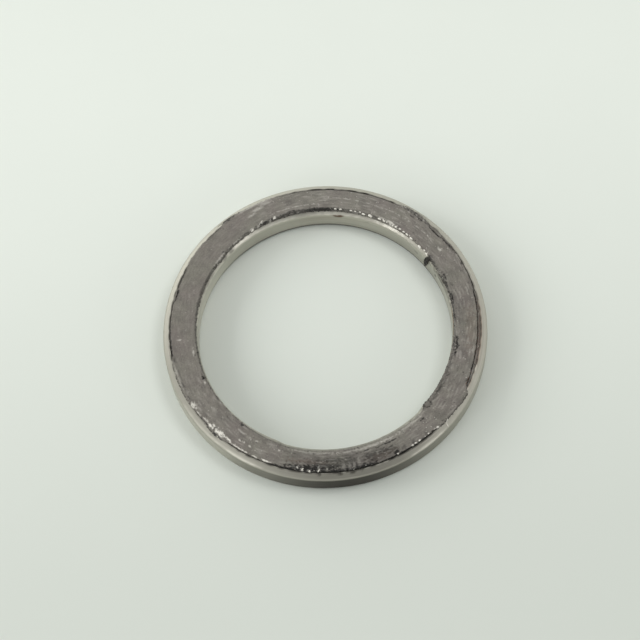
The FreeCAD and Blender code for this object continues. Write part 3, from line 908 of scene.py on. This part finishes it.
# Bearing, radius, height of the middle, length along the ring
crests = (
    (121.6, 16.98, 3.72, 0.6), (123.2, 16.87, 3.64, 1.1), (125.0, 16.95, 3.70, 0.8), (128.0, 16.88, 3.65, 1.3),
    (133.4, 16.98, 3.71, 1.1), (134.7, 17.08, 3.76, 0.5), (136.1, 17.05, 3.75, 1.0), (138.0, 17.11, 3.77, 0.9),
    (140.0, 17.18, 3.79, 1.15), (142.0, 17.14, 3.78, 1.25), (143.7, 16.99, 3.72, 0.6), (148.2, 17.08, 3.76, 0.7),
    (150.6, 17.14, 3.78, 1.1), (155.1, 17.14, 3.78, 1.5), (158.1, 17.10, 3.77, 1.2), (159.8, 17.18, 3.79, 0.6),
    (162.0, 17.16, 3.77, 0.7), (163.9, 17.16, 3.77, 0.8), (168.6, 17.18, 3.77, 0.9), (170.9, 17.16, 3.77, 0.8),
    (198.5, 17.20, 3.78, 1.0), (204.4, 17.26, 3.79, 0.8), (209.8, 17.08, 3.74, 1.2),
    (347.4, 19.98, 3.74, 0.8), (349.9, 20.02, 3.74, 0.8), (351.8, 19.92, 3.72, 0.5), (353.5, 19.92, 3.76, 1.2),
    (6.0, 20.0, 3.72, 0.6), (10.6, 19.9, 3.76, 0.7),
)
crest_tree, given = new_tree("bent_wires", (
    ("Wire radius", "Float"), ("Wire length", "Float"), ("Seed", "Int"), ("Material", "Material")))
arc = add(crest_tree, "GeometryNodeCurveArc", {
    "Resolution": 6, "Radius": given["Wire length"],
    "Start Angle": math.radians(35), "Sweep Angle": math.radians(110)})
ring = add(crest_tree, "GeometryNodeCurvePrimitiveCircle", {"Resolution": 7, "Radius": given["Wire radius"]})
wire = add(crest_tree, "GeometryNodeCurveToMesh", {"Curve": arc, "Profile Curve": ring, "Fill Caps": True})
# The arc lies in x and y; it is stood up and sunk so that only its crest shows.
stood = add(crest_tree, "GeometryNodeTransform", {"Geometry": wire, "Rotation": (math.radians(90), 0, 0)})
turn, size = [
    add(crest_tree, "GeometryNodeInputNamedAttribute", {"Name": name}, data_type="FLOAT") for name in ("turn", "size")]
chance = add(crest_tree, "FunctionNodeRandomValue", {2: -0.25, 3: 0.25, "Seed": given["Seed"]}, data_type="FLOAT")
lean = add(crest_tree, "ShaderNodeMath", (turn, chance), operation="ADD")
spin = add(crest_tree, "ShaderNodeCombineXYZ", {2: lean})
placed = add(crest_tree, "GeometryNodeInstanceOnPoints", {
    "Points": given["Geometry"], "Instance": stood, "Rotation": spin, "Scale": size})
close_tree(crest_tree, placed, given["Material"])

# %% Crests in place
# Bared wire is rubbed nearly white, and its near-white colour is partly a painted highlight. It is drawn only part
# metallic, so that the dots stay bright from every side.
bare_wire, tree = new_material("bare_wire_with_painted_highlight")
scuffs = add(tree, "ShaderNodeTexNoise", {"Vector": millimetre_place(tree), "Scale": 9.0, "Detail": 2.0})
dress(tree, "#fbf8f1", ((scuffs, "#dcd7cc"),), 0.38, plain={"Metallic": 0.3})
crest_b, crest_r, crest_z, crest_size = np.array(crests).T
crest_arc = 0.17
sunk_middle = crest_z - (crest_arc + wire_diameter / 2) * crest_size
crest_points = skeleton(
    "wire_crests", ring_place(crest_b, crest_r, sunk_middle), turn=np.radians(crest_b), size=crest_size)
add_tree(crest_points, crest_tree, {
    "Wire radius": wire_diameter / 2 * MM, "Wire length": crest_arc * MM, "Seed": 4, "Material": bare_wire})
crest_piece = finished(crest_points, "wire_crests")
smooth_faces(crest_piece.data)
print(len(crests), "crests,", len(crest_piece.data.polygons), "faces")

# %% [markdown]
# ## Bared wires
# Where the filling has broken away the knitted wire lies bare as short bent lengths and a bright tangle.
# Each follows its own path of a few points, so Geometry Nodes turns every path into a thin round wire.

# %% Bared wires
# Paths of bearing and radius; a height is worked out from what lies under the wire.
bare_paths = (
    ((43.9, 20.86), (44.0, 20.60), (44.6, 20.38), (45.6, 20.24), (46.6, 20.20)),
    ((297.0, 19.82), (297.5, 20.02), (298.6, 20.12), (299.8, 20.08), (300.2, 19.90), (299.6, 19.72), (298.8, 19.62)),
    ((300.2, 19.90), (301.4, 19.98), (303.4, 20.00)),
    ((304.6, 19.84), (306.0, 19.80), (308.0, 19.92), (309.6, 19.88)),
    ((308.6, 19.98), (309.6, 19.82), (310.4, 19.60), (311.2, 19.42)),
    ((311.0, 19.95), (312.6, 19.98), (314.4, 19.90)),
    ((311.8, 19.62), (313.4, 19.56), (315.4, 19.62), (317.2, 19.74), (318.8, 19.76)),
    ((312.2, 19.78), (314.6, 19.72), (316.8, 19.80)),
    ((319.5, 19.94), (322.0, 19.92), (324.6, 19.93), (326.4, 19.90)), ((328.4, 19.94), (330.2, 19.93)),
    ((332.6, 19.94), (334.2, 19.91), (335.8, 19.93)), ((347.3, 20.06), (347.5, 19.88), (347.9, 19.72)),
    ((350.0, 20.10), (350.3, 19.92)), ((353.2, 20.06), (353.5, 19.86), (353.8, 19.74)),
    ((121.0, 17.02), (122.2, 17.00), (123.4, 17.06)), ((203.8, 17.52), (204.8, 17.38), (206.0, 17.22)),
    ((76.8, 17.06), (78.2, 17.02), (79.6, 17.04)),
)


def wire_height(radius):
    """Height of a bared wire at a radius: sunk in the top face, on the outer rim or low beside the inner one."""
    in_top_face = gasket_height - 0.06
    if 17.1 < radius < 20.2:
        return in_top_face
    return min(in_top_face, float(outer_lip_height(np.array(radius))) + 0.03 if radius > 20 else 3.66)


bare_points, bare_edges = [], []
for path in bare_paths:
    for step, (b, r) in enumerate(path):
        bare_points.append(ring_place(b, r, wire_height(r)))
        bare_edges += [(len(bare_points) - 2, len(bare_points) - 1)] if step else []
bare_tree, given = new_tree("wires_on_paths", (
    ("Wire radius", "Float"), ("Bend", "Float"), ("Material", "Material")))
paths = add(bare_tree, "GeometryNodeMeshToCurve", (given["Geometry"],))
bent = add(bare_tree, "GeometryNodeFilletCurve", {"Curve": paths, "Radius": given["Bend"], "Count": 3}, mode="POLY")
ring = add(bare_tree, "GeometryNodeCurvePrimitiveCircle", {"Resolution": 8, "Radius": given["Wire radius"]})
wires = add(bare_tree, "GeometryNodeCurveToMesh", {"Curve": bent, "Profile Curve": ring, "Fill Caps": True})
close_tree(bare_tree, wires, given["Material"])
bare_piece = skeleton("bared_wires", bare_points, bare_edges)
add_tree(bare_piece, bare_tree, {"Wire radius": 0.055 * MM, "Bend": 0.10 * MM, "Material": bare_wire})
bare_piece = finished(bare_piece, "bared_wires")
smooth_faces(bare_piece.data)
print(len(bare_paths), "bared wires,", len(bare_piece.data.polygons), "faces")

# %% [markdown]
# ## Stage
# The ring lies on a pale, slightly grey-green table. A plane with a faint change of colour is enough:
# the near side is painted a little darker than the far side, as painted shade.

# %% Stage
half = 600 * MM
# The table lies a hundredth of a millimetre under the ring, so that the two faces don't share one plane.
table_top = -0.01 * MM
corners = [(x * half, y * half, table_top) for x, y in ((-1, -1), (1, -1), (1, 1), (-1, 1))]
table_mesh = bpy.data.meshes.new("table")
table_mesh.from_pydata(corners, [], [(0, 1, 2, 3)])
table = in_scene("table", table_mesh)
# Painted board is matt, with a faint speckle.
painted_table, tree = new_material("pale_painted_table")
place = add(tree, "ShaderNodeTexCoord").outputs["Object"]
y = add(tree, "ShaderNodeSeparateXYZ", (place,)).outputs[1]
# The painted shade runs from 45 mm behind the ring's middle to 45 mm in front of it.
painted_shade_share = add(tree, "ShaderNodeMapRange", {
    "Value": y, "From Min": 0.045, "From Max": -0.045}, interpolation_type="SMOOTHSTEP")
speckle = add(tree, "ShaderNodeTexNoise", {"Vector": place, "Scale": 60.0, "Detail": 5.0})
speckle_share = add(tree, "ShaderNodeMath", (speckle, 0.08), operation="MULTIPLY")
dress(tree, "#f0f5ee", ((painted_shade_share, "#d9ded7"), (speckle_share, "#cdd0ca")), 0.7, plain={"Specular IOR Level": 0.2})
table_mesh.materials.append(painted_table)
print("table", 2 * half, "m wide")

# %% [markdown]
# ## Light
# A soft window-like lamp on the left gives the shadow that falls to the right, a weaker one on the right fills it,
# and the surroundings are bright above and beyond the ring and dark behind the camera.

# %% Light
def lamp_place(bearing, elevation, distance=0.55):
    """Point at a bearing and an elevation in degrees, seen from the ring."""
    flat = math.cos(math.radians(elevation)) * distance
    turn = math.radians(bearing)
    return (flat * math.sin(turn), -flat * math.cos(turn), math.sin(math.radians(elevation)) * distance)


# The two large lamps on the left shade the table, the one on the right fills and is thrown back by the walls
# on to the table beside them; the two small ones put the glints on the rim of the bore.
# Name, bearing, elevation, size in metres, watts and whether metal shows the lamp as a reflection
lamps = (
    ("lamp_left", 258, 27, 0.26, 1.05, False), ("lamp_front_left", 306, 21, 0.22, 0.40, False),
    ("lamp_right", 100, 62, 0.20, 0.50, True), ("glint_left", 308, 19.5, 0.10, 0.10, True),
    ("glint_right", 54, 19, 0.07, 0.09, True),
)
for name, lamp_bearing, lamp_elevation, size, watts, mirrored in lamps:
    light = bpy.data.lights.new(name, "AREA")
    light.size, light.energy = size, watts
    lamp = in_scene(name, light)
    lamp.visible_glossy = mirrored
    lamp.location = lamp_place(lamp_bearing, lamp_elevation)
    lamp.rotation_euler = Vector(lamp_place(lamp_bearing, lamp_elevation)).to_track_quat("Z", "Y").to_euler()
print(len(lamps), "soft lamps")

# %% Surroundings
world = bpy.data.worlds.new("studio")
bpy.context.scene.world = world
world.use_nodes = True
tree = world.node_tree
tree.nodes.clear()
direction = add(tree, "ShaderNodeTexCoord").outputs["Generated"]
height = add(tree, "ShaderNodeSeparateXYZ", (direction,)).outputs[2]
# Each step of brightness: what it follows, where it starts and ends, and the brightness at both ends.
steps = [(height, 0.60, 0.95, 0.47, 0.66), (height, 0.05, 0.60, 0.50, 0.0)]
# Bearing and elevation of the middle, cosine of the angle where it ends, brightness added:
# the dark place behind the camera, a bright wall far on the left and a small bright place in front on the left.
spots = ((14, 55, 0.76, -0.44), (215, 5, 0.74, 1.00), (293, 36, 0.93, 0.45))
for spot_bearing, spot_elevation, end_cosine, amount in spots:
    middle = lamp_place(spot_bearing, spot_elevation, 1.0)
    aim = add(tree, "ShaderNodeVectorMath", (direction, middle), operation="DOT_PRODUCT")
    steps.append((aim, end_cosine, 1.0, 0.0, amount))
level = 0.0
for followed, start, end, at_start, at_end in steps:
    step = add(tree, "ShaderNodeMapRange", {
        "Value": followed, "From Min": start, "From Max": end, "To Min": at_start, "To Max": at_end},
        interpolation_type="SMOOTHSTEP")
    level = add(tree, "ShaderNodeMath", (level, step), operation="ADD")
surround = add(tree, "ShaderNodeBackground", {"Color": (0.985, 1.0, 0.965, 1.0), "Strength": level})
add(tree, "ShaderNodeOutputWorld", {"Surface": surround})
bpy.context.scene.view_settings.view_transform = "Standard"
print("a soft surround of", len(steps), "steps of brightness")

# %% [markdown]
# ## Camera
# The camera looks down at 65 degrees from a quarter of a metre, rolled a little, as the photograph was taken.

# %% Camera
elevation, roll = math.radians(65.13), math.radians(-4.76)
# In outer radii of the ring: how far off the camera is and how far its middle lies beside and above the ring's.
distance, aside, above = 12.0, -0.035, 0.110
back = np.array([0, -math.cos(elevation), math.sin(elevation)])
right, up = np.array([1.0, 0, 0]), np.array([0, math.sin(elevation), math.cos(elevation)])
turned_right = math.cos(roll) * right + math.sin(roll) * up
turned_up = -math.sin(roll) * right + math.cos(roll) * up
centre = (distance * back + aside * turned_right + above * turned_up) * outer_radius * MM
# The outer radius shows as 160.5 of the picture's 640 pixels.
shown_radius, picture_width, sensor_width = 160.5, 640, 36
camera_data = bpy.data.cameras.new("camera")
camera_data.sensor_width = sensor_width
camera_data.lens = shown_radius * distance / picture_width * sensor_width
camera = in_scene("camera", camera_data)
camera.matrix_world = Matrix(np.block([
    [turned_right[:, None], turned_up[:, None], back[:, None], centre[:, None]], [0, 0, 0, 1]]).tolist())
bpy.context.scene.camera = camera
print("camera at", [round(float(v), 4) for v in centre], "lens", round(camera_data.lens, 1), "mm")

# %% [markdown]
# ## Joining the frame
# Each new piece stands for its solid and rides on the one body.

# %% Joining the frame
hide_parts("steel_channel")
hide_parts("graphite_filler")
finishes = ((channel, "worn_steel"), (filler, "pressed_graphite"), (crest_piece, "worn_steel"),
            (bare_piece, "worn_steel"), (crumbs, "pressed_graphite"), (flake, "pressed_graphite"))
for piece, slot in finishes:
    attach(piece, "root")
